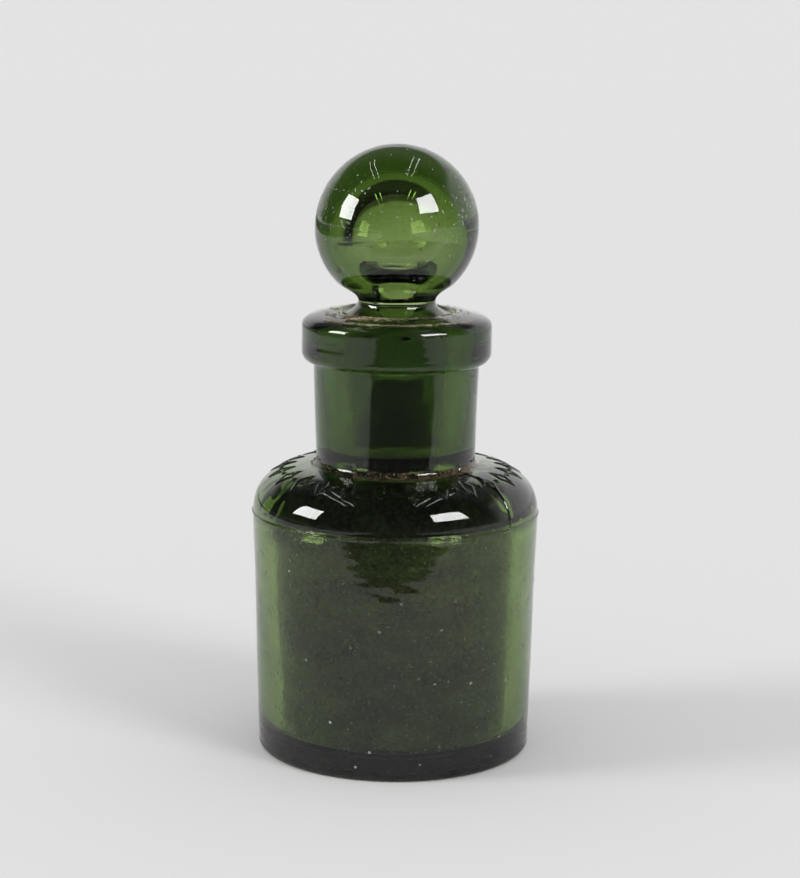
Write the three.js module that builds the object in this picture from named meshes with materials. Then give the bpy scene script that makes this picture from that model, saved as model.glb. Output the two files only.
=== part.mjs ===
// Apothecary salts bottle: a thick mould-blown glass bottle with a ground neck, and
// the hollow-blown ball stopper that is ground to fit it.
// Millimetres, +Z up. The origin is the middle of the base, on the surface it stands on.
import * as THREE from 'three';

// ---- driving dimensions ----
const SIDES = 48; // facets round each turned piece

const BASE_RADIUS = 20.35;
const BASE_CORNER = 0.9; // radius of the corner between base and side
const KICK_RADIUS = 14.0; // the base is pushed up inside this radius
const KICK_DEPTH = 0.7;
const KICK_MIDWAY = { radius: 0.6, depth: 0.7 }; // one more ring of the kick, as shares of its size

const SEAM_RADIUS = 21.3; // the side widens up to the mould seam under the shoulder
const SEAM_HEIGHT = 36.2;
const SEAM_PROUD = 0.15;
const SEAM_HALF_WIDTH = 0.35;

const SHOULDER_RISE = 6.6; // the shoulder leaves the seam upright, with a curve handle this long
const SHOULDER_LANDING = { out: 1.2, down: 0.2 }; // its handle at the neck's foot

const NECK_FOOT_RADIUS = 11.85;
const NECK_FOOT_HEIGHT = 43.2;
const NECK_FILLET = 1.0; // hollow corner between shoulder and neck
const NECK_TOP_RADIUS = 12.3;

const LIP_RADIUS = 14.1;
const LIP_FOOT_HEIGHT = 58.5;
const LIP_UNDERCUT = 0.2; // the neck ends this far below the lip's foot
const LIP_LOWER_ROUND = 1.7;
const LIP_SHOULDER_HEIGHT = 63.9; // the lip's side rounds over to its sloping top from here
const LIP_TOP_HANDLES = { up: 1.2, inward: 0.9, below: 0.5 }; // roundness of the lip's sloping top
const LIP_CREST_RADIUS = 9.4; // highest ring of the lip, close to the mouth
const LIP_CREST_HEIGHT = 66.1;
const MOUTH_HEIGHT = 65.7;
const MOUTH_BEVEL = 0.4;

const WALL = 3.4; // thickness of the side
const FLOOR_HEIGHT = 2.3; // top of the glass floor, at its edge
const FLOOR_CROWN = 0.5; // the floor rises this much more in the middle
const FLOOR_CORNER = 2.6;
const SHOULDER_WALL = 3.6;
const BORE_RUN_OUT = 2; // the bore carries on this far below the plug's foot
const BORE_FLARE = { out: 0.5, down: 2.5 }; // where the bore starts to widen into the body
const UNDER_SHOULDER = { out: 2.2, up: 0.4, side: 1, drop: 4 }; // the flare's roundness under the shoulder
const FLOOR_MIDWAY = { radius: 0.45, rise: 0.75 }; // one more ring of the floor, as shares of its size

const PLUG_TOP_RADIUS = 7.8; // ground taper of the stopper's plug
const PLUG_TOP_HEIGHT = 65.7;
const PLUG_FOOT_RADIUS = 6.4;
const PLUG_FOOT_HEIGHT = 46.6;
const PLUG_CHAMFER = 0.5;
const FIT_GAP = 0.3; // radial clearance between plug and bore

const WAIST_RADIUS = 5.72; // narrowest place between plug and ball
const WAIST_HEIGHT = 67.6;
const WAIST_BELOW = { inward: 1.1, up: 0.4, down: 0.8 }; // sweep from the plug's top in to the waist
const WAIST_ABOVE = { up: 1.0, inward: 1.4, down: 1.0 }; // sweep from the waist out to the ball
const BALL_RADIUS = 11.95;
const BALL_CENTRE = 78.7;
const BALL_FOOT_DEGREES = -46; // the ball runs into the waist's sweep at this angle

const CAVITY_RADIUS = 6.8; // bubble blown inside the ball
const CAVITY_CENTRE = 77.2;
const CAVITY_DROP = 5.3; // the bubble's lower half is flattened to this height
const CAVITY_END_DEGREES = -60; // the bubble runs into its throat at this angle
const CAVITY_THROAT_RADIUS = 2.95; // the throat runs down the shank and opens at the plug's foot
const CAVITY_THROAT_TOP = 68.6;
const CAVITY_RUN_IN = { inward: 0.4, down: 0.4, up: 1.2 }; // sweep from the bubble into its throat

const GLASS = { color: 0x1f3a14, roughness: 0.06, metalness: 0 };
const STOPPER_GLASS = { color: 0x56742e, roughness: 0.05, metalness: 0 };

// ---- outlines: lists of (radius, height) points ----
const point = (radius, height) => new THREE.Vector2(radius, height);

// Arc about (radius, height), angles in degrees from the outward direction.
function arc(radius, height, arcRadius, fromDegrees, toDegrees, steps) {
  return Array.from({ length: steps + 1 }, (_, step) => {
    const degrees = fromDegrees + ((toDegrees - fromDegrees) * step) / steps;
    const angle = THREE.MathUtils.degToRad(degrees);
    return point(radius + arcRadius * Math.cos(angle), height + arcRadius * Math.sin(angle));
  });
}

const curve = (steps, ...handles) => new THREE.CubicBezierCurve(...handles).getPoints(steps);

// Radius of the stopper's ground taper at a height, carried on straight past both ends.
function plugRadius(height) {
  const share = (height - PLUG_FOOT_HEIGHT) / (PLUG_TOP_HEIGHT - PLUG_FOOT_HEIGHT);
  return THREE.MathUtils.lerp(PLUG_FOOT_RADIUS, PLUG_TOP_RADIUS, share);
}

const boreRadius = (height) => plugRadius(height) + FIT_GAP;

function bottleOutside() {
  return [
    point(0, KICK_DEPTH),
    point(KICK_RADIUS * KICK_MIDWAY.radius, KICK_DEPTH * KICK_MIDWAY.depth),
    point(KICK_RADIUS, 0),
    ...arc(BASE_RADIUS - BASE_CORNER, BASE_CORNER, BASE_CORNER, -90, 0, 4),
    point(SEAM_RADIUS, SEAM_HEIGHT - SEAM_HALF_WIDTH),
    point(SEAM_RADIUS + SEAM_PROUD, SEAM_HEIGHT),
    ...curve(
      9,
      point(SEAM_RADIUS, SEAM_HEIGHT + SEAM_HALF_WIDTH),
      point(SEAM_RADIUS, SEAM_HEIGHT + SHOULDER_RISE),
      point(
        NECK_FOOT_RADIUS + NECK_FILLET + SHOULDER_LANDING.out,
        NECK_FOOT_HEIGHT - SHOULDER_LANDING.down
      ),
      point(NECK_FOOT_RADIUS + NECK_FILLET, NECK_FOOT_HEIGHT)
    ),
    ...arc(
      NECK_FOOT_RADIUS + NECK_FILLET,
      NECK_FOOT_HEIGHT + NECK_FILLET,
      NECK_FILLET,
      240,
      180,
      2
    ),
    point(NECK_TOP_RADIUS, LIP_FOOT_HEIGHT - LIP_UNDERCUT),
    ...arc(
      LIP_RADIUS - LIP_LOWER_ROUND,
      LIP_FOOT_HEIGHT + LIP_LOWER_ROUND,
      LIP_LOWER_ROUND,
      -80,
      0,
      4
    ),
    ...curve(
      6,
      point(LIP_RADIUS, LIP_SHOULDER_HEIGHT),
      point(LIP_RADIUS, LIP_SHOULDER_HEIGHT + LIP_TOP_HANDLES.up),
      point(LIP_RADIUS - LIP_TOP_HANDLES.inward, LIP_CREST_HEIGHT - LIP_TOP_HANDLES.below),
      point(LIP_CREST_RADIUS, LIP_CREST_HEIGHT)
    ),
  ];
}

function bottleInside() {
  const boreFoot = PLUG_FOOT_HEIGHT - BORE_RUN_OUT;
  const insideTop = SEAM_RADIUS - WALL;
  const insideFoot = BASE_RADIUS - WALL;
  const shoulderTop = NECK_FOOT_HEIGHT - SHOULDER_WALL;
  return [
    point(boreRadius(MOUTH_HEIGHT) + MOUTH_BEVEL, MOUTH_HEIGHT),
    point(boreRadius(MOUTH_HEIGHT - MOUTH_BEVEL), MOUTH_HEIGHT - MOUTH_BEVEL),
    point(boreRadius(boreFoot), boreFoot),
    ...curve(
      7,
      point(boreRadius(boreFoot) + BORE_FLARE.out, boreFoot - BORE_FLARE.down),
      point(boreRadius(boreFoot) + UNDER_SHOULDER.out, shoulderTop + UNDER_SHOULDER.up),
      point(insideTop, shoulderTop + UNDER_SHOULDER.side),
      point(insideTop, SEAM_HEIGHT - UNDER_SHOULDER.drop)
    ),
    ...arc(insideFoot - FLOOR_CORNER, FLOOR_HEIGHT + FLOOR_CORNER, FLOOR_CORNER, 0, -90, 4),
    point(insideFoot * FLOOR_MIDWAY.radius, FLOOR_HEIGHT + FLOOR_CROWN * FLOOR_MIDWAY.rise),
    point(0, FLOOR_HEIGHT + FLOOR_CROWN),
  ];
}

function stopperOutside() {
  const ball = arc(0, BALL_CENTRE, BALL_RADIUS, BALL_FOOT_DEGREES, 90, 18);
  const ballFoot = ball[0];
  return [
    point(plugRadius(PLUG_FOOT_HEIGHT) - PLUG_CHAMFER, PLUG_FOOT_HEIGHT),
    point(plugRadius(PLUG_FOOT_HEIGHT + PLUG_CHAMFER), PLUG_FOOT_HEIGHT + PLUG_CHAMFER),
    ...curve(
      5,
      point(PLUG_TOP_RADIUS, PLUG_TOP_HEIGHT),
      point(PLUG_TOP_RADIUS - WAIST_BELOW.inward, PLUG_TOP_HEIGHT + WAIST_BELOW.up),
      point(WAIST_RADIUS, WAIST_HEIGHT - WAIST_BELOW.down),
      point(WAIST_RADIUS, WAIST_HEIGHT)
    ),
    ...curve(
      5,
      point(WAIST_RADIUS, WAIST_HEIGHT),
      point(WAIST_RADIUS, WAIST_HEIGHT + WAIST_ABOVE.up),
      point(ballFoot.x - WAIST_ABOVE.inward, ballFoot.y - WAIST_ABOVE.down),
      ballFoot
    ).slice(1),
    ...ball.slice(1),
  ];
}

function stopperInside() {
  const bubble = arc(0, 0, CAVITY_RADIUS, 90, CAVITY_END_DEGREES, 14).map(({ x, y }) =>
    point(x, CAVITY_CENTRE + (y > 0 ? y : (y * CAVITY_DROP) / CAVITY_RADIUS))
  );
  const end = bubble[bubble.length - 1];
  return [
    ...bubble,
    ...curve(
      5,
      end,
      point(end.x - CAVITY_RUN_IN.inward, end.y - CAVITY_RUN_IN.down),
      point(CAVITY_THROAT_RADIUS, CAVITY_THROAT_TOP + CAVITY_RUN_IN.up),
      point(CAVITY_THROAT_RADIUS, CAVITY_THROAT_TOP)
    ).slice(1),
    point(CAVITY_THROAT_RADIUS, PLUG_FOOT_HEIGHT),
  ];
}

// ---- pieces ----
// Turns an outline about the Z axis; it runs so that the glass is on its left-hand side.
function turned(name, outline, material) {
  const geometry = new THREE.LatheGeometry(outline, SIDES);
  const piece = new THREE.Mesh(geometry, new THREE.MeshStandardMaterial(material));
  piece.name = name;
  piece.rotation.x = Math.PI / 2;
  return piece;
}

const vial = new THREE.Group();
vial.add(
  turned('bottle', [...bottleOutside(), ...bottleInside()], GLASS),
  turned('ball_stopper', [...stopperInside(), ...stopperOutside()], STOPPER_GLASS)
);

export default vial;
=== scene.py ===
"""Looks of the glass apothecary vial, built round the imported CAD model.

Two glass pieces are turned from outlines set out from the CAD boxes, then made uneven the way
mould-blown glass is. Dried residue, crust, dirt and dust ride on them. Lengths are in
millimetres until a mesh is made; Blender's own unit is the metre.
"""
import math
import bmesh
import bpy
import numpy as np
from mathutils import Matrix, Vector


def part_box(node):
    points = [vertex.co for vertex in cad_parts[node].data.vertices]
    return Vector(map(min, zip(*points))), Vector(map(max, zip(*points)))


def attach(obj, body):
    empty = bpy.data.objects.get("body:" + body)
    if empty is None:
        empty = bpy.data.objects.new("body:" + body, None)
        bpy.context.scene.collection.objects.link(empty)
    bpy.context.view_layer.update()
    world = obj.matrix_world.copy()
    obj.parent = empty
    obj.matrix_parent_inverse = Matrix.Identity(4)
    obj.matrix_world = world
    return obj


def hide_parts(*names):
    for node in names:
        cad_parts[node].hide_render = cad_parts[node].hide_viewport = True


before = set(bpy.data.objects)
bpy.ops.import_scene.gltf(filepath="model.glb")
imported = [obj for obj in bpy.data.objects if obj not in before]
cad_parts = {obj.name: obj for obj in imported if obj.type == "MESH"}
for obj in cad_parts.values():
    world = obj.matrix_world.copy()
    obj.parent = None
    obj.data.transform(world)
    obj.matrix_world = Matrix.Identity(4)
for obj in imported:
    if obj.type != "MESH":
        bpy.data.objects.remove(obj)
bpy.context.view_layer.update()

MM = 0.001
SIDES = 900  # columns round each glass piece
FILM_SIDES = 360  # and round each shell of residue
FRONT = math.radians(-90)  # the side of the vial that faces forward

bottle_low, bottle_high = [np.array(corner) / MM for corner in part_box("bottle")]
stopper_low, stopper_high = [np.array(corner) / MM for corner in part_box("ball_stopper")]

# ---- bottle, outside ----
BASE_CORNER = 0.9
SEAM_PROUD = 0.15
SEAM_HALF = 0.2  # half the height of the seam's ring
SEAM_RADIUS = bottle_high[0] - SEAM_PROUD
SEAM_HEIGHT = 36.2
BASE_RADIUS = SEAM_RADIUS - 0.95
KICK_RADIUS = 14.0
KICK_DEPTH = 0.7
SHOULDER_STEP = 0.08  # the shoulder starts this far in from the side
SHOULDER_RISE = 6.6  # it leaves the seam upright, with a curve handle this long
SHOULDER_LANDING = np.array((1.2, -0.2))  # its handle at the foot of the neck
NECK_FOOT_RADIUS = 11.85
NECK_TOP_RADIUS = 12.3
SHOULDER_TOP = 43.2
NECK_FILLET = 1.0
LIP_CREST = bottle_high[2]
LIP_CREST_RADIUS = 9.4
LIP_RADIUS = 14.1
LIP_FOOT = LIP_CREST - 7.6
LIP_UNDERCUT = 0.3  # the neck ends this far below the lip's foot
LIP_LOWER_ROUND = 1.7
LIP_SHOULDER = LIP_CREST - 2.2
MOUTH_DROP = 0.4
MOUTH_BEVEL = 0.4

# ---- bottle, inside ----
WALL = 3.4
FLOOR = 2.3
FLOOR_CROWN = 0.5
FLOOR_CORNER = 2.6
SHOULDER_WALL = 3.6
BORE_RUN_OUT = 2  # the bore carries on this far below the plug's foot

# ---- stopper ----
BALL_RADIUS = stopper_high[0]
BALL_CENTRE = stopper_high[2] - BALL_RADIUS
BALL_FOOT_ANGLE = -46
WAIST_RADIUS = 5.72
WAIST_HEIGHT = 67.6
PLUG_TOP_RADIUS = 7.8
PLUG_TOP = LIP_CREST - MOUTH_DROP
PLUG_FOOT_RADIUS = 6.4
PLUG_FOOT = stopper_low[2]
PLUG_CHAMFER = 0.5
FIT_GAP = 0.12  # between plug and bore
BUBBLE_RADIUS = 6.8
BUBBLE_CENTRE = BALL_CENTRE - 1.5
BUBBLE_DROP = 5.3  # from its centre to its flattened bottom
BUBBLE_END = -60  # the bubble runs into its throat at this angle
BUBBLE_THROAT = 2.95
THROAT_TOP = 68.6


# ---- outlines: (radius, height) points ----
def arc(radius, height, size, start, end, steps):
    """Points on an arc about (radius, height), angles in degrees from the outward direction."""
    angles = np.radians(np.linspace(start, end, steps + 1))
    return np.stack([radius + size * np.cos(angles), height + size * np.sin(angles)], 1)


def line(start, end, steps):
    return np.linspace(start, end, steps + 1)


def curve(start, handle, second_handle, end, steps):
    """Points on a cubic Bezier curve."""
    start, handle, second_handle, end = map(np.array, (start, handle, second_handle, end))
    t = np.linspace(0, 1, steps + 1)[:, None]
    return ((1 - t) ** 3 * start + 3 * (1 - t) ** 2 * t * handle
            + 3 * (1 - t) * t ** 2 * second_handle + t ** 3 * end)


def joined(*stretches):
    """One outline from stretches that meet end to end, without doubled points."""
    points = np.concatenate(stretches)
    keep = np.ones(len(points), bool)
    keep[1:] = np.linalg.norm(np.diff(points, axis=0), axis=1) > 1e-3
    return points[keep]


def plug_radius(height):
    share = (height - PLUG_FOOT) / (PLUG_TOP - PLUG_FOOT)
    return PLUG_FOOT_RADIUS + (PLUG_TOP_RADIUS - PLUG_FOOT_RADIUS) * share


def bottle_outside():
    kick = (KICK_RADIUS, 0)
    corner = BASE_RADIUS - BASE_CORNER
    seam_low, seam_high = SEAM_HEIGHT - SEAM_HALF, SEAM_HEIGHT + SEAM_HALF
    proud = SEAM_RADIUS + SEAM_PROUD
    shoulder = (SEAM_RADIUS - SHOULDER_STEP, seam_high)
    neck_foot = np.array((NECK_FOOT_RADIUS + NECK_FILLET, SHOULDER_TOP))
    fillet = SHOULDER_TOP + NECK_FILLET
    neck_top = (NECK_TOP_RADIUS, LIP_FOOT - LIP_UNDERCUT)
    lip_round = LIP_RADIUS - LIP_LOWER_ROUND
    return joined(
        curve((0, KICK_DEPTH), (KICK_RADIUS * 0.6, KICK_DEPTH), (KICK_RADIUS * 0.8, 0), kick, 14),
        line(kick, (corner, 0), 4),
        arc(corner, BASE_CORNER, BASE_CORNER, -90, 0, 8),
        line((BASE_RADIUS, BASE_CORNER), (SEAM_RADIUS, seam_low), 110),
        curve((SEAM_RADIUS, seam_low), (SEAM_RADIUS, SEAM_HEIGHT - SEAM_HALF / 3),
              (proud, SEAM_HEIGHT - SEAM_HALF / 2), (proud, SEAM_HEIGHT), 5),
        curve((proud, SEAM_HEIGHT), (proud, SEAM_HEIGHT + SEAM_HALF / 2),
              (shoulder[0], SEAM_HEIGHT + SEAM_HALF / 3), shoulder, 5),
        curve(shoulder, (SEAM_RADIUS, SEAM_HEIGHT + SHOULDER_RISE),
              neck_foot + SHOULDER_LANDING, neck_foot, 90),
        arc(neck_foot[0], fillet, NECK_FILLET, 258, 180, 8),
        line((NECK_FOOT_RADIUS, fillet), neck_top, 60),
        curve(neck_top, (NECK_TOP_RADIUS, LIP_FOOT), (NECK_TOP_RADIUS + 0.05, LIP_FOOT + 0.02),
              (lip_round, LIP_FOOT + 0.03), 4),
        arc(lip_round, LIP_FOOT + LIP_LOWER_ROUND, LIP_LOWER_ROUND, -88, 0, 14),
        line((LIP_RADIUS, LIP_FOOT + LIP_LOWER_ROUND), (LIP_RADIUS, LIP_SHOULDER), 16),
        curve((LIP_RADIUS, LIP_SHOULDER), (LIP_RADIUS, LIP_SHOULDER + 1.2),
              (LIP_RADIUS - 0.9, LIP_CREST - 0.5), (LIP_CREST_RADIUS, LIP_CREST), 30),
    )


def bottle_inside():
    """From the mouth down the bore and the inside of the body to the middle of the floor."""
    bore_start = np.array((plug_radius(PLUG_TOP - MOUTH_BEVEL) + FIT_GAP, PLUG_TOP - MOUTH_BEVEL))
    bore_foot = PLUG_FOOT - BORE_RUN_OUT
    bore_end = plug_radius(bore_foot) + FIT_GAP
    inside_top = (SEAM_RADIUS - WALL, SEAM_HEIGHT - 4)
    inside_foot = BASE_RADIUS - WALL
    corner = inside_foot - FLOOR_CORNER
    under_shoulder = SHOULDER_TOP - SHOULDER_WALL
    ceiling = (bore_end + 5.5, under_shoulder - 0.2)
    return joined(
        curve((LIP_CREST_RADIUS, LIP_CREST), (LIP_CREST_RADIUS - 0.6, LIP_CREST),
              (bore_start[0], PLUG_TOP), bore_start, 8),
        line(bore_start, (bore_end, bore_foot), 60),
        curve((bore_end, bore_foot), (bore_end, bore_foot - 3.2), (bore_end + 2.2, under_shoulder + 0.4),
              ceiling, 16),
        curve(ceiling, (inside_top[0] - 1.0, under_shoulder - 0.9), (inside_top[0], under_shoulder - 3.4),
              inside_top, 24),
        line(inside_top, (inside_foot, FLOOR + FLOOR_CORNER), 50),
        arc(corner, FLOOR + FLOOR_CORNER, FLOOR_CORNER, 0, -84, 10),
        curve((corner, FLOOR), (8, FLOOR + 0.4), (5, FLOOR + FLOOR_CROWN), (0, FLOOR + FLOOR_CROWN), 20),
    )


def stopper_inside():
    """From the top of the bubble down through the shank to the plug's foot."""
    bubble = arc(0, 0, BUBBLE_RADIUS, 90, BUBBLE_END, 60)
    bubble[:, 1] = BUBBLE_CENTRE + bubble[:, 1] * np.where(bubble[:, 1] > 0, 1, BUBBLE_DROP / BUBBLE_RADIUS)
    onward = bubble[-1] - bubble[-2]
    onward /= np.linalg.norm(onward)
    return joined(
        bubble,
        curve(bubble[-1], bubble[-1] + onward, (BUBBLE_THROAT, THROAT_TOP + 1.2),
              (BUBBLE_THROAT, THROAT_TOP), 24),
        line((BUBBLE_THROAT, THROAT_TOP), (BUBBLE_THROAT, PLUG_FOOT), 30),
    )


def stopper_outside():
    """From the plug's foot up the ground taper, waist and ball to the top."""
    ball = arc(0, BALL_CENTRE, BALL_RADIUS, BALL_FOOT_ANGLE, 90, 110)
    return joined(
        curve((BUBBLE_THROAT, PLUG_FOOT), (PLUG_FOOT_RADIUS - 1.2, PLUG_FOOT), (PLUG_FOOT_RADIUS, PLUG_FOOT),
              (plug_radius(PLUG_FOOT + PLUG_CHAMFER), PLUG_FOOT + PLUG_CHAMFER), 10),
        line((plug_radius(PLUG_FOOT + PLUG_CHAMFER), PLUG_FOOT + PLUG_CHAMFER),
             (PLUG_TOP_RADIUS, PLUG_TOP), 40),
        curve((PLUG_TOP_RADIUS, PLUG_TOP), (PLUG_TOP_RADIUS - 1.1, PLUG_TOP + 0.4),
              (WAIST_RADIUS, WAIST_HEIGHT - 0.8), (WAIST_RADIUS, WAIST_HEIGHT), 14),
        curve((WAIST_RADIUS, WAIST_HEIGHT), (WAIST_RADIUS, WAIST_HEIGHT + 1.0),
              ball[0] - np.array((1.4, 1.0)), ball[0], 14),
        ball,
    )


# ---- meshes ----
def waves(points, size, seed, count=20, stretch=(1, 1, 1)):
    """Smooth unevenness about 1 high: many plane waves of about this wavelength, in mm."""
    rng = np.random.default_rng(seed)
    directions = rng.normal(size=(count, 3))
    directions /= np.linalg.norm(directions, axis=1)[:, None]
    numbers = 2 * np.pi / (size * rng.uniform(0.7, 1.5, count))
    phases = rng.uniform(0, 2 * np.pi, count)
    total = np.zeros(points.shape[:-1])
    for direction, number, phase in zip(directions * np.array(stretch), numbers, phases):
        total += np.cos(points @ direction * number + phase)
    return total / math.sqrt(count / 2)


def outline_normals(outline):
    """Unit normals on the right-hand side of an outline."""
    along = np.gradient(outline, axis=0)
    normals = np.stack([along[:, 1], -along[:, 0]], 1)
    return normals / np.linalg.norm(normals, axis=1)[:, None]


def turned(outline, relief=None, sides=SIDES):
    """Points and faces of an outline that starts and ends on the axis, turned about Z.
    relief(points, angle) moves the points along their normals."""
    middle = outline[1:-1]
    normals = outline_normals(outline)[1:-1]
    angle = np.linspace(0, 2 * np.pi, sides, endpoint=False)[None, :]
    outward = np.stack([np.cos(angle), np.sin(angle), np.zeros_like(angle)], -1)
    up = np.array((0, 0, 1.0))
    points = middle[:, 0, None, None] * outward + middle[:, 1, None, None] * up
    facing = normals[:, 0, None, None] * outward + normals[:, 1, None, None] * up
    if relief is not None:
        points = points + facing * relief(points, np.broadcast_to(angle, points.shape[:2]))[..., None]
    rows = len(middle)
    flat = np.concatenate([points.reshape(-1, 3), [[0, 0, outline[0, 1]], [0, 0, outline[-1, 1]]]])
    first, last = rows * sides, rows * sides + 1
    index = np.arange(rows * sides).reshape(rows, sides)
    nxt = np.roll(index, -1, axis=1)
    quads = np.stack([index[:-1], nxt[:-1], nxt[1:], index[1:]], -1).reshape(-1, 4)
    start = [(first, nxt[0, i], index[0, i]) for i in range(sides)]
    end = [(last, index[-1, i], nxt[-1, i]) for i in range(sides)]
    return flat, quads.tolist() + start + end


def ball_mesh(subdivisions):
    """Unit ball of triangles, as points and faces."""
    ball = bmesh.new()
    bmesh.ops.create_icosphere(ball, subdivisions=subdivisions, radius=1)
    points = np.array([vertex.co[:] for vertex in ball.verts])
    faces = np.array([[vertex.index for vertex in face.verts] for face in ball.faces])
    ball.free()
    return points, faces


def lumps(places, facings, sizes, seed, thickness=0.4, longest=1.6, ragged=0.3):
    """Small flattened lumps lying on a surface, one at each place."""
    rng = np.random.default_rng(seed)
    ball, triangles = ball_mesh(2)
    points, faces = [], []
    for place, facing, size in zip(places, facings, sizes):
        facing = facing / np.linalg.norm(facing)
        side = np.cross(facing, rng.normal(size=3))
        side /= np.linalg.norm(side)
        across = np.cross(facing, side)
        length = rng.uniform(1, longest)
        uneven = ball * (1 + ragged * rng.uniform(-1, 1, (len(ball), 1)))
        local = uneven[:, :1] * side * length + uneven[:, 1:2] * across + uneven[:, 2:] * facing * thickness
        faces.append(triangles + len(ball) * len(points))
        points.append(place + size * local)
    return np.concatenate(points), np.concatenate(faces).tolist()


def seeds(places, sizes):
    """Air bubbles in glass: small balls facing inwards, to be joined to the glass mesh."""
    ball, triangles = ball_mesh(2)
    points = [place + size * ball for place, size in zip(places, sizes)]
    faces = [triangles[:, ::-1] + len(ball) * i for i in range(len(points))]
    return np.concatenate(points), np.concatenate(faces).tolist()


def joined_meshes(first, second):
    shift = len(first[0])
    moved = [tuple(index + shift for index in face) for face in second[1]]
    return np.concatenate([first[0], second[0]]), list(first[1]) + moved


def link(name, data):
    """A new object, in the scene."""
    piece = bpy.data.objects.new(name, data)
    bpy.context.scene.collection.objects.link(piece)
    return piece


def make_piece(name, mesh_parts, material, body):
    """A part of the vial, in metres, that rides one body of the CAD."""
    points, faces = mesh_parts
    mesh = bpy.data.meshes.new(name)
    mesh.from_pydata((points * MM).tolist(), [], faces)
    mesh.shade_smooth()
    mesh.materials.append(material)
    piece = link(name, mesh)
    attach(piece, body)
    return piece


def set_roughness(piece, values):
    """Roughness of each point, read by the glass material."""
    layer = piece.data.attributes.new("ground", "FLOAT", "POINT")
    layer.data.foreach_set("value", np.asarray(values, dtype=np.float32))


# ---- materials ----
def new_material(name):
    material = bpy.data.materials.new(name)
    material.use_nodes = True
    return material, material.node_tree.nodes, material.node_tree.links


POLISHED = 0.02  # roughness of glass that isn't ground
HAZE = 0.003  # share of the glass that shows as dust


def glass(name, density, tint):
    """Green glass with a faint haze of dust; roughness comes from the mesh."""
    material, nodes, links = new_material(name)
    shader = nodes["Principled BSDF"]
    shader.inputs["Base Color"].default_value = (1, 1, 1, 1)
    shader.inputs["IOR"].default_value = 1.5
    shader.inputs["Transmission Weight"].default_value = 1 - HAZE
    ground = nodes.new("ShaderNodeAttribute")
    ground.attribute_name = "ground"
    links.new(ground.outputs["Fac"], shader.inputs["Roughness"])
    absorb = nodes.new("ShaderNodeVolumeAbsorption")
    absorb.inputs["Color"].default_value = (*tint, 1)
    absorb.inputs["Density"].default_value = density
    links.new(absorb.outputs["Volume"], nodes["Material Output"].inputs["Volume"])
    return material


def mottled(name, stops, scale, detail=6, fine=0.0, fine_scale=1500, flat=1.0, paler_up=0.0,
            rising=(0.018, 0.036)):
    """A dull deposit whose colour wanders between the stops, with some finer grain.
    It may pale upwards, over the rising heights in metres."""
    material, nodes, links = new_material(name)
    shader = nodes["Principled BSDF"]
    shader.inputs["Roughness"].default_value = 0.85
    shader.inputs["Specular IOR Level"].default_value = 0.2
    place = nodes.new("ShaderNodeTexCoord")
    blotch = nodes.new("ShaderNodeTexNoise")
    blotch.inputs["Scale"].default_value = scale
    blotch.inputs["Detail"].default_value = detail
    grain = nodes.new("ShaderNodeTexNoise")
    grain.inputs["Scale"].default_value = fine_scale
    grain.inputs["Detail"].default_value = 3
    squeezed = nodes.new("ShaderNodeVectorMath")
    squeezed.operation = "MULTIPLY"
    squeezed.inputs[1].default_value = (1, 1, flat)
    links.new(place.outputs["Object"], squeezed.inputs[0])
    for node in (blotch, grain):
        links.new(squeezed.outputs["Vector"], node.inputs["Vector"])
    mix = nodes.new("ShaderNodeMix")
    mix.inputs["Factor"].default_value = fine
    links.new(blotch.outputs["Fac"], mix.inputs["A"])
    links.new(grain.outputs["Fac"], mix.inputs["B"])
    colour = nodes.new("ShaderNodeValToRGB")
    elements = colour.color_ramp.elements
    while len(elements) < len(stops):
        elements.new(0.5)
    for element, (position, shade) in zip(elements, stops):
        element.position = position
        element.color = (*shade, 1)
    height = nodes.new("ShaderNodeSeparateXYZ")
    links.new(place.outputs["Object"], height.inputs["Vector"])
    paler = nodes.new("ShaderNodeMapRange")
    for socket, number in zip(list(paler.inputs)[1:5], (*rising, 0, paler_up)):
        socket.default_value = number
    links.new(height.outputs["Z"], paler.inputs["Value"])
    total = nodes.new("ShaderNodeMath")
    links.new(mix.outputs["Result"], total.inputs[0])
    links.new(paler.outputs["Result"], total.inputs[1])
    links.new(total.outputs["Value"], colour.inputs["Fac"])
    links.new(colour.outputs["Color"], shader.inputs["Base Color"])
    return material


# ---- relief on the bottle ----
SEAM_ANGLES = (math.radians(-38), math.radians(142))
BORDER_TOP = np.array((14.2, 43.0))  # the border of lozenges starts here, near the neck's foot
BORDER_MIDDLE = 2.9  # along the shoulder from there
BORDER_REPEATS = 24
LOZENGE = (0.9, 1.9)  # half width and half height
STROKE = 0.15
LOZENGE_PROUD = 0.17
BEAD = 0.5
BEAD_PROUD = 0.27
UPRIGHT_SEAM = (0.17, 0.18)  # how proud and how wide the upright seams are
SAG = 0.035  # slow unevenness of the walls
RIPPLE = 0.003  # fine ripple from the mould
ROLL = 0.0035  # broader ripple
TOOLING = 0.0025  # lines left by finishing the lip
SETTLED = 4  # the walls are true at the base and uneven from this height


def around(angle, centre):
    """Signed angle from a centre, in -pi..pi."""
    return (angle - centre + np.pi) % (2 * np.pi) - np.pi


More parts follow.
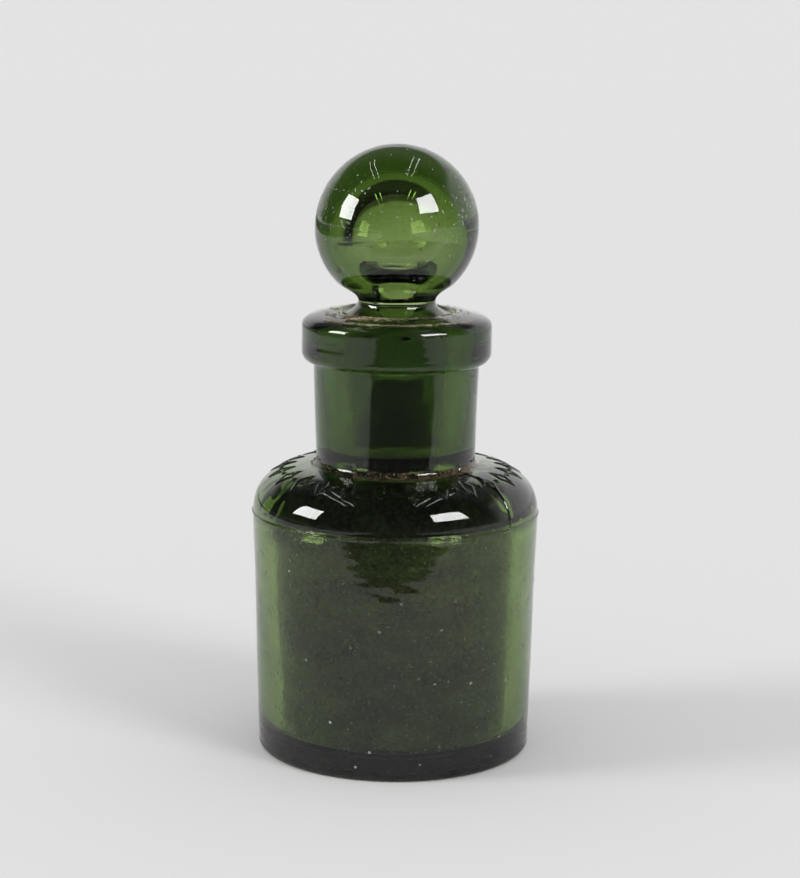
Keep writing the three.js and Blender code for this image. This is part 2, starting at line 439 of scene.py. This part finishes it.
def border(points, angle):
    """A raised ring of outlined lozenges with a bead between each two."""
    radius = np.hypot(points[..., 0], points[..., 1])
    height = points[..., 2]
    down = np.hypot(radius - BORDER_TOP[0], height - BORDER_TOP[1]) - BORDER_MIDDLE
    step = 2 * np.pi / BORDER_REPEATS
    across = ((angle / step) % 1 - 0.5) * step * radius
    between = ((angle / step + 0.5) % 1 - 0.5) * step * radius
    edge = (np.abs(across) / LOZENGE[0] + np.abs(down) / LOZENGE[1] - 1) * LOZENGE[0] * 0.85
    lozenge = np.exp(-(edge / STROKE) ** 2)
    bead = np.clip(1 - np.hypot(between, down) / BEAD, 0, 1)
    on_shoulder = (height > 40.2) & (radius > BORDER_TOP[0])
    return np.where(on_shoulder, LOZENGE_PROUD * lozenge + BEAD_PROUD * bead, 0)


def mould_seams(points, angle):
    """Two upright seams over the shoulder, where the halves of the mould met."""
    radius = np.hypot(points[..., 0], points[..., 1])
    height = points[..., 2]
    outside = (height > SEAM_HEIGHT) & (height < SHOULDER_TOP + 1.2) & (radius > NECK_FOOT_RADIUS - 0.3)
    outside &= (radius > SEAM_RADIUS - WALL + 0.6) | (height > SHOULDER_TOP - SHOULDER_WALL + 0.6)
    proud, width = UPRIGHT_SEAM
    ridges = sum(np.exp(-(around(angle, seam) * radius / width) ** 2) for seam in SEAM_ANGLES)
    return np.where(outside, proud * ridges, 0)


def bottle_relief(points, angle):
    """How far each point of the bottle stands out from its outline."""
    height = points[..., 2]
    radius = np.hypot(points[..., 0], points[..., 1])
    lower = np.where(height < SEAM_HEIGHT, 1.3, 0.45)
    lower = np.where((radius < SEAM_RADIUS - WALL + 0.3) & (height < SHOULDER_TOP - 2), 0.4, lower)
    upright = lower * RIPPLE * waves(points, 0.65, 11, 30, stretch=(0.14, 0.14, 1.2))
    upright = upright + lower * ROLL * waves(points, 2.4, 13, stretch=(0.35, 0.35, 1.2))
    tooled = TOOLING * waves(points, 1.1, 14, stretch=(0.05, 0.05, 1.2))
    sag = SAG * waves(points, 20, 12)
    uneven = (sag + np.where(height > LIP_FOOT - 3, tooled, upright)) * np.clip(height / SETTLED, 0, 1)
    return uneven + border(points, angle) + mould_seams(points, angle)


def ground_zone(points, low, high, inner, outer, seed):
    """Roughness: ground between two heights and radii, polished elsewhere."""
    radius = np.hypot(points[:, 0], points[:, 1])
    height = points[:, 2]
    streaks = 0.42 + 0.06 * waves(points, 0.8, seed, stretch=(0.3, 0.3, 1.6))
    ground = (height > low) & (height < high) & (radius > inner) & (radius < outer)
    return np.where(ground, np.clip(streaks, 0.2, 0.6), POLISHED)


def stained_wall(points):
    """Patchy roughness where residue clings to the inside of the body."""
    radius = np.hypot(points[:, 0], points[:, 1])
    inside = (radius < SEAM_RADIUS - WALL + 0.4) & (points[:, 2] < SHOULDER_TOP - SHOULDER_WALL)
    inside &= (radius < BASE_RADIUS - WALL - 1) | (points[:, 2] > FLOOR)
    patches = 0.14 + 0.08 * waves(points, 0.5, 33, 30) + 0.03 * waves(points, 5, 34)
    worn_base = np.where(points[:, 2] < 1.5, 0.3, 0)
    return np.where(inside, np.clip(patches, 0.0, 0.5), worn_base)


# ---- pieces ----
def on_ring(radius, angle, height):
    return np.stack([radius * np.cos(angle), radius * np.sin(angle), height], 1)


def make_bottle(material):
    """The bottle, one closed mesh, ground in the neck."""
    parts = turned(joined(bottle_outside(), bottle_inside()), bottle_relief)
    bottle = make_piece("bottle_glass", parts, material, "bottle")
    rough = ground_zone(parts[0], PLUG_FOOT - 1, PLUG_TOP - 0.3, 5, 8.2, 31)
    set_roughness(bottle, np.maximum(rough, stained_wall(parts[0])))
    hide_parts("bottle")


SEEDS = 140
SEED_DEPTHS = (7.4, 11.3)  # distances from the middle of the ball
BALL_FULLER = 0.3  # on its low left side


def ball_seeds():
    """Air bubbles between the ball's skin and the bubble in its middle."""
    rng = np.random.default_rng(25)
    directions = rng.normal(size=(SEEDS, 3))
    directions /= np.linalg.norm(directions, axis=1)[:, None]
    places = np.array((0, 0, BALL_CENTRE)) + directions * rng.uniform(*SEED_DEPTHS, (SEEDS, 1))
    places = places[places[:, 2] > BALL_CENTRE - 5]
    return seeds(places, rng.uniform(0.07, 0.14, len(places)))


def stopper_relief(points, angle):
    """The ball is a little fuller low on its left side."""
    height = points[..., 2]
    full = np.array((-0.88, 0, -0.47))
    out = points - np.array((0, 0, BALL_CENTRE))
    toward = np.clip(out @ full / BALL_RADIUS, 0, 1) ** 3
    upper = np.clip((height - WAIST_HEIGHT) / 3, 0, 1)
    return BALL_FULLER * toward * upper * (np.linalg.norm(out, axis=-1) > 9) + 0.003 * waves(points, 3, 15)


def make_stopper(material):
    """The stopper, one closed mesh with its air bubbles, ground on the plug."""
    parts = turned(joined(stopper_inside(), stopper_outside()), stopper_relief)
    parts = joined_meshes(parts, ball_seeds())
    stopper = make_piece("stopper_glass", parts, material, "stopper")
    set_roughness(stopper, ground_zone(parts[0], PLUG_FOOT + 0.2, PLUG_TOP - 0.1, 6.2, 8, 32))
    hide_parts("ball_stopper")


FILM_CLEAR = 0.12  # gap between the body's wall and the residue on it
FILM_THICKNESS = 0.10
FILM_BEDDED = 0.08  # how deep it lies in the glass under the shoulder
SHOULDER_FILM = 0.3  # how far it reaches in from the shoulder's inner surface


def make_film(material):
    """Dried residue: a thin closed shell just inside the body's inner wall."""
    wall = bottle_inside()
    wall = wall[wall[:, 1] < SEAM_HEIGHT]
    normals = outline_normals(wall)
    outer = wall + normals * FILM_CLEAR
    inner = (wall + normals * (FILM_CLEAR + FILM_THICKNESS))[::-1]
    outer[-1, 0] = inner[0, 0] = 0
    shell = turned(np.concatenate([inner, outer]), None, FILM_SIDES)
    make_piece("residue_film", shell, material, "bottle")


def film_angles():
    """Angles round the vial of a residue shell's columns."""
    return np.linspace(0, 2 * np.pi, FILM_SIDES, endpoint=False)


def closed_ring(radius, height, angle):
    """Mesh of a ring whose closed section may change round it: rows are section points, columns angles."""
    points = np.stack([radius * np.cos(angle), radius * np.sin(angle), height], -1)
    index = np.arange(height.size).reshape(height.shape)
    below, beside = np.roll(index, -1, axis=0), np.roll(index, -1, axis=1)
    quads = np.stack([index, below, np.roll(below, -1, axis=1), beside], -1).reshape(-1, 4)
    return points.reshape(-1, 3), quads.tolist()


def make_shoulder_film(material):
    """The same residue under the shoulder: bedded in the glass at the front, in patches elsewhere."""
    wall = bottle_inside()
    wall = wall[(wall[:, 1] > SEAM_HEIGHT - 0.5) & (wall[:, 1] < PLUG_FOOT - 3.2)]
    normals = outline_normals(wall)
    angle = film_angles()
    places = np.stack([on_ring(radius, angle, np.full_like(angle, height)) for radius, height in wall])
    share = np.interp(np.abs(around(angle, FRONT)), np.radians((48, 70)), (0, 1))
    clear = -FILM_BEDDED + share * (0.12 + 0.07 * waves(places, 2.2, 38))
    section = []
    for i in (0, 1):
        inner = wall[:, [i]] + normals[:, [i]] * np.full_like(angle, SHOULDER_FILM)
        outer = wall[:, [i]] + normals[:, [i]] * clear
        section.append(np.concatenate([inner, outer[::-1]]))
    make_piece("shoulder_film", closed_ring(*section, angle), material, "bottle")


GAP_RING_OFFSETS = (0.05, 0.025)  # its outer and inner distance from the plug


def gap_ring(top, foot, angle):
    """A dark ring in the gap between plug and bore; its top and foot may change round it."""
    height = foot + np.linspace(1, 0, 40)[:, None] * (top - foot)
    wide, narrow = (plug_radius(height) + gap for gap in GAP_RING_OFFSETS)
    height = np.concatenate([height, height[::-1]])
    sway = 0.08 * waves(height[..., None] * np.array((0, 0, 1.0)), 1.0, 37)
    return closed_ring(np.concatenate([wide, narrow[::-1]]), height, angle + sway)


def make_joint_dark_ring(material):
    """A dark ring in the ground joint: high at the front, low and ragged all round, and at the mouth."""
    angle = film_angles()
    circle = on_ring(7, angle, np.zeros(len(angle)))
    ragged = 0.5 * waves(circle, 2.5, 35) + 0.3 * waves(circle, 0.7, 36)
    from_front = np.abs(around(angle, FRONT)) + 0.03 * ragged
    full, low, foot = LIP_FOOT - 1.2, PLUG_FOOT + 1.4, PLUG_FOOT + 0.6
    top = np.interp(from_front, np.radians((22, 42, 80, 110)), (full, low, low, PLUG_FOOT + 1))
    top = top + 0.6 * ragged
    front = gap_ring(np.clip(top, foot + 0.2, full), foot, angle)
    mouth = gap_ring(np.full_like(angle, LIP_CREST - 1.2), LIP_CREST - 2.8 + 0.3 * ragged, angle)
    make_piece("joint_dark_ring", joined_meshes(front, mouth), material, "bottle")


def lip_height(radius):
    """Height of the lip's sloping top at a radius."""
    outline = bottle_outside()
    top = outline[outline[:, 1] > LIP_SHOULDER][::-1]
    return np.interp(radius, top[:, 0], top[:, 1])


def lip_lumps(name, angle, radius, sizes, seed, material):
    """Flakes lying on the lip's sloping top."""
    places = on_ring(radius, angle, lip_height(radius) + 0.02)
    facings = np.tile((0, 0, 1.0), (len(places), 1))
    make_piece(name, lumps(places, facings, sizes, seed, 0.4, 1.8), material, "bottle")


SCALE_FLAKES = 1100


def make_crust(material, pale):
    """Flaky deposit on the lip, thickest at the front left, and a pale line along its front."""
    rng = np.random.default_rng(41)
    left = rng.normal(FRONT - math.radians(32), math.radians(18), 1000)
    right = rng.normal(FRONT + math.radians(52), math.radians(14), 350)
    everywhere = rng.uniform(0, 2 * np.pi, 500)
    angle = np.concatenate([left, right, everywhere])
    radius = 8.2 + 2.6 * rng.uniform(0, 1, len(angle)) ** 1.5
    sizes = 0.02 + 0.13 * rng.uniform(0, 1, len(angle)) ** 3
    lip_lumps("mouth_crust", angle, radius, sizes, 42, material)
    front = rng.uniform(FRONT - math.radians(62), FRONT + math.radians(62), SCALE_FLAKES)
    radius = rng.normal(12.2, 0.2, SCALE_FLAKES)
    sizes = 0.02 + 0.08 * rng.uniform(0, 1, SCALE_FLAKES) ** 2
    lip_lumps("mouth_scale", front, radius, sizes, 49, pale)


def make_neck_dirt(material):
    """Dirt packed in the hollow at the foot of the neck, most of it to the right."""
    rng = np.random.default_rng(43)
    angle = np.concatenate([rng.uniform(0, 2 * np.pi, 1500), rng.normal(FRONT + math.radians(62), 0.3, 700)])
    turn = rng.uniform(math.radians(185), math.radians(262), len(angle))
    radius = NECK_FOOT_RADIUS + NECK_FILLET + NECK_FILLET * np.cos(turn)
    height = SHOULDER_TOP + NECK_FILLET + NECK_FILLET * np.sin(turn)
    places = on_ring(radius, angle, height)
    facings = on_ring(-np.cos(turn), angle, -np.sin(turn))
    sizes = 0.02 + 0.09 * rng.uniform(0, 1, len(angle)) ** 2
    dirt = lumps(places, facings, sizes, 44, 0.4, 2)
    make_piece("neck_dirt", dirt, material, "bottle")


def make_body_dust(material):
    """Pale specks sitting on the bottle's side."""
    rng = np.random.default_rng(45)
    count = 280
    angle = rng.uniform(0, 2 * np.pi, count)
    height = 2 + 33 * rng.uniform(0, 1, count) ** 1.3
    radius = BASE_RADIUS + (SEAM_RADIUS - BASE_RADIUS) * height / SEAM_HEIGHT
    places = on_ring(radius, angle, height)
    facings = on_ring(np.ones(count), angle, np.zeros(count))
    sizes = 0.04 + 0.19 * rng.uniform(0, 1, count) ** 4
    specks = lumps(places, facings, sizes, 46, 0.15, 1.3)
    make_piece("body_dust", specks, material, "bottle")


def make_ball_dust(material):
    """Specks and short scratches, thickest high on the ball's left and right."""
    rng = np.random.default_rng(47)
    facings = np.concatenate([
        rng.normal(size=(300, 3)),
        np.array((-1.6, -0.9, 0.5)) + rng.normal(0, 0.42, (260, 3)),
        np.array((1.6, -0.9, 0.5)) + rng.normal(0, 0.42, (180, 3)),
    ])
    facings /= np.linalg.norm(facings, axis=1)[:, None]
    facings = facings[facings[:, 2] > -0.6]
    places = np.array((0, 0, BALL_CENTRE)) + facings * BALL_RADIUS
    sizes = 0.02 + 0.11 * rng.uniform(0, 1, len(places)) ** 3
    specks = lumps(places, facings, sizes, 48, 0.12, 3.5)
    make_piece("ball_dust", specks, material, "stopper")


# ---- what the deposits are made of, and the whole vial ----
# Each stop is a share of the noise and the colour it gives.
def film_material():
    stops = [(0.39, (0.014, 0.014, 0.010)), (0.50, (0.055, 0.055, 0.038)),
             (0.61, (0.14, 0.135, 0.09)), (0.72, (0.22, 0.21, 0.13))]
    return mottled("residue_film", stops, 120, fine=0.5, fine_scale=1700, flat=2, paler_up=0.10)


def shoulder_film_material():
    stops = [(0.42, (0.004, 0.005, 0.003)), (0.62, (0.035, 0.04, 0.022))]
    return mottled("shoulder_film", stops, 200, fine=0.35, fine_scale=1700)


def joint_dark_ring_material():
    stops = [(0.42, (0.006, 0.010, 0.005)), (0.58, (0.035, 0.05, 0.022)), (0.78, (0.10, 0.13, 0.07))]
    return mottled("joint_dark_ring", stops, 260, fine=0.4, fine_scale=1800, flat=2, paler_up=0.08,
                   rising=(0.0475, 0.0515))


def dust_material():
    return mottled("dust", [(0.3, (0.16, 0.17, 0.14)), (0.7, (0.42, 0.44, 0.38))], 300)


def crust_material():
    stops = [(0.38, (0.04, 0.03, 0.015)), (0.5, (0.24, 0.17, 0.08)), (0.6, (0.65, 0.6, 0.45))]
    return mottled("crust", stops, 600, fine=0.5, fine_scale=2500)


def scale_material():
    return mottled("scale", [(0.4, (0.28, 0.22, 0.13)), (0.6, (0.6, 0.54, 0.4))], 400, fine=0.5)


def dirt_material():
    return mottled("dirt", [(0.35, (0.03, 0.02, 0.012)), (0.6, (0.20, 0.14, 0.08))], 300, fine=0.6)


def make_vial():
    """Both pieces of glass, and everything that clings to them."""
    make_bottle(glass("bottle_glass", 350, (0.43, 0.58, 0.14)))
    make_stopper(glass("stopper_glass", 290, (0.41, 0.55, 0.11)))
    make_film(film_material())
    make_shoulder_film(shoulder_film_material())
    make_joint_dark_ring(joint_dark_ring_material())
    dust = dust_material()
    make_crust(crust_material(), scale_material())
    make_neck_dirt(dirt_material())
    make_body_dust(dust)
    make_ball_dust(dust)


# ---- stage ----
FLOOR_HALF = 20.0  # metres
CARD_LIFT = 0.5  # cards that lie on the floor
PANEL_DISTANCE = 700
CAMERA_DISTANCE = 365.8
CAMERA_HEIGHT = 117.9
CAMERA_PITCH = 11.0
CAMERA_YAW = 0.10
CAMERA_ROLL = 0.52
LENS = 102.5
WORLD_LIGHT = 0.66
FLOOR_SHADE = 0.8
FRONT_SHADE = 0.10
SUN_WIDTH = 22
PANEL_GLOW = 18
TUBE_GLOW = 7


def make_camera():
    """The camera that took the photo, as measured from the vial's outline."""
    data = bpy.data.cameras.new("camera")
    data.lens = LENS
    data.sensor_width = 36
    camera = link("camera", data)
    yaw, pitch, roll = (math.radians(a) for a in (CAMERA_YAW, CAMERA_PITCH, CAMERA_ROLL))
    ahead = Vector((math.sin(yaw) * math.cos(pitch), math.cos(yaw) * math.cos(pitch), -math.sin(pitch)))
    right = Vector((math.cos(yaw), -math.sin(yaw), 0))
    upward = right.cross(ahead)
    turned_right = right * math.cos(roll) + upward * math.sin(roll)
    turned_up = upward * math.cos(roll) - right * math.sin(roll)
    axes = Matrix((turned_right, turned_up, -ahead)).transposed()
    place = Vector((0, -CAMERA_DISTANCE, CAMERA_HEIGHT)) * MM
    camera.matrix_world = Matrix.Translation(place) @ axes.to_4x4()
    bpy.context.scene.camera = camera


def plain(name, colour):
    """A dull, even colour."""
    material, nodes, _ = new_material(name)
    shader = nodes["Principled BSDF"]
    shader.inputs["Base Color"].default_value = (*colour, 1)
    shader.inputs["Roughness"].default_value = 0.85
    shader.inputs["Specular IOR Level"].default_value = 0
    return material


def make_floor():
    data = bpy.data.meshes.new("floor")
    corners = [(-1, -1), (1, -1), (1, 1), (-1, 1)]
    data.from_pydata([(x * FLOOR_HALF, y * FLOOR_HALF, 0) for x, y in corners], [], [(0, 1, 2, 3)])
    data.materials.append(plain("floor", (FLOOR_SHADE,) * 3))
    link("floor", data)


def card(name, corners, material):
    """A card that only reflections and refractions see."""
    data = bpy.data.meshes.new(name)
    data.from_pydata([tuple(c * MM for c in corner) for corner in corners], [], [tuple(range(len(corners)))])
    data.materials.append(material)
    piece = link(name, data)
    piece.visible_camera = False
    piece.visible_diffuse = False
    piece.visible_shadow = False


def floor_card(name, left, right, front, back, material):
    corners = [(left, front), (right, front), (right, back), (left, back)]
    card(name, [(x, y, CARD_LIFT) for x, y in corners], material)


def glowing(name, strength):
    """A lamp's surface."""
    material = plain(name, (0, 0, 0))
    shader = material.node_tree.nodes["Principled BSDF"]
    shader.inputs["Emission Color"].default_value = (1, 1, 1, 1)
    shader.inputs["Emission Strength"].default_value = strength
    return material


def toward(azimuth, elevation):
    """Direction from azimuth, in degrees right of the front, and elevation."""
    azimuth, elevation = math.radians(azimuth), math.radians(elevation)
    return Vector((math.sin(azimuth) * math.cos(elevation), -math.cos(azimuth) * math.cos(elevation),
                   math.sin(elevation)))


def softbox(name, azimuths, elevations, sun, material):
    """A lit panel for the glass to mirror, and a broad sun from the same side that lights the table."""
    corners = [(0, 0), (1, 0), (1, 1), (0, 1)]
    middle = Vector((0, 0, BALL_CENTRE))
    directions = [toward(azimuths[i], elevations[j]) for i, j in corners]
    card(name, [tuple(middle + PANEL_DISTANCE * direction) for direction in directions], material)
    data = bpy.data.lights.new(name, "SUN")
    data.energy = sun
    data.angle = math.radians(SUN_WIDTH)
    light = link(name + "_sun", data)
    direction = toward(sum(azimuths) / 2, sum(elevations) / 2)
    light.rotation_euler = direction.to_track_quat("Z", "Y").to_euler()
    light.visible_glossy = False
    light.visible_transmission = False


def tube(name, front, back, height, width, material):
    """A ceiling lamp between two (x, y) points."""
    corners = [(front[0] - width, front[1]), (front[0] + width, front[1]),
               (back[0] + width, back[1]), (back[0] - width, back[1])]
    card(name, [(x, y, height) for x, y in corners], material)


class Sums:
    """Short ways to wire arithmetic into a node tree."""
    def __init__(self, tree):
        self.nodes, self.links = tree.nodes, tree.links

    def math(self, kind, *values):
        node = self.nodes.new("ShaderNodeMath")
        node.operation = kind
        for socket, value in zip(node.inputs, values):
            if isinstance(value, (int, float)):
                socket.default_value = value
            else:
                self.links.new(value, socket)
        return node.outputs[0]

    def ramp(self, value, low, high, at_low, at_high):
        node = self.nodes.new("ShaderNodeMapRange")
        node.interpolation_type = "SMOOTHSTEP"
        self.links.new(value, node.inputs["Value"])
        for socket, number in zip(list(node.inputs)[1:5], (low, high, at_low, at_high)):
            socket.default_value = number
        return node.outputs["Result"]


BACKDROP_TOP = 0.42  # sine of the elevation of its upper edge
BACKDROP_FADE = 0.14
BACKDROP_LIGHT = 0.85
ABOVE_BACKDROP = 0.13  # share of that light above its upper edge
ROOM_LIGHT = 0.035
BACKGROUND = (0.765, 0.765, 0.77)
SIDE_LIGHT = 0.07


def mirrored_room(sums, direction):
    """Brightness of the room in a direction: a pale sweep behind, reaching round on the right,
    with a dark room above and in front."""
    x, y, z = direction
    behind = sums.math("MULTIPLY_ADD", x, 0.35, y)
    pale = sums.ramp(behind, 0.25, 0.6, 0, BACKDROP_LIGHT)
    sweep = sums.math("MULTIPLY", pale, sums.ramp(x, -0.2, 0.2, 1, 1.1))
    over = sums.math("MULTIPLY_ADD", x, -0.15, z)
    below_top = sums.ramp(over, BACKDROP_TOP, BACKDROP_TOP + BACKDROP_FADE, 1, ABOVE_BACKDROP)
    low = sums.math("MULTIPLY", sums.ramp(z, 0.1, 0.5, SIDE_LIGHT, 0), sums.ramp(x, -0.3, 0.3, 0, 1))
    return sums.math("ADD", sums.math("MULTIPLY", sweep, below_top), sums.math("ADD", low, ROOM_LIGHT))


def make_world():
    """Even and pale for the camera and the table; the glass mirrors and bends the room."""
    world = bpy.data.worlds.new("studio")
    bpy.context.scene.world = world
    world.use_nodes = True
    nodes, links = world.node_tree.nodes, world.node_tree.links
    seen = nodes["Background"]
    seen.inputs["Color"].default_value = (*BACKGROUND, 1)
    place = nodes.new("ShaderNodeTexCoord")
    split = nodes.new("ShaderNodeSeparateXYZ")
    links.new(place.outputs["Generated"], split.inputs["Vector"])
    mirrored = nodes.new("ShaderNodeBackground")
    links.new(mirrored_room(Sums(world.node_tree), list(split.outputs)), mirrored.inputs["Color"])
    even = nodes.new("ShaderNodeBackground")
    even.inputs["Color"].default_value = (WORLD_LIGHT, WORLD_LIGHT, WORLD_LIGHT, 1)
    path = nodes.new("ShaderNodeLightPath")
    soft = nodes.new("ShaderNodeMixShader")
    links.new(path.outputs["Is Diffuse Ray"], soft.inputs["Fac"])
    links.new(mirrored.outputs["Background"], soft.inputs[1])
    links.new(even.outputs["Background"], soft.inputs[2])
    mix = nodes.new("ShaderNodeMixShader")
    links.new(path.outputs["Is Camera Ray"], mix.inputs["Fac"])
    links.new(soft.outputs["Shader"], mix.inputs[1])
    links.new(seen.outputs["Background"], mix.inputs[2])
    links.new(mix.outputs["Shader"], nodes["World Output"].inputs["Surface"])


def make_studio():
    """Floor, shading cards, lights, world and camera, as in the photo."""
    make_floor()
    dark = plain("dark_card", (FRONT_SHADE,) * 3)
    camera_shade = [(-95, -108), (110, -108), (205, -150), (260, -700), (-200, -700), (-144, -210)]
    card("front_floor", [(x, y, CARD_LIFT) for x, y in camera_shade], dark)
    floor_card("left_floor", -420, -3000, 1500, -1500, dark)
    card("front_wall", [(-125, -420, 0), (125, -420, 0), (125, -420, 500), (-125, -420, 500)], dark)
    panel = glowing("panel", PANEL_GLOW)
    softbox("left_box", (-91, -67), (9, 33), 1.30, panel)
    softbox("right_box", (33, 64), (20, 41.5), 0.92, panel)
    lamp = glowing("lamp", TUBE_GLOW)
    for gap in (-70, 70):
        tube("left_tube", (-640 + gap, -250), (-605 + gap, 900), 1500, 10, lamp)
        tube("right_tube", (335 + gap, -250), (410 + gap, 900), 1500, 10, lamp)
    make_world()
    make_camera()
    bpy.context.scene.view_settings.view_transform = "Standard"


make_vial()
make_studio()
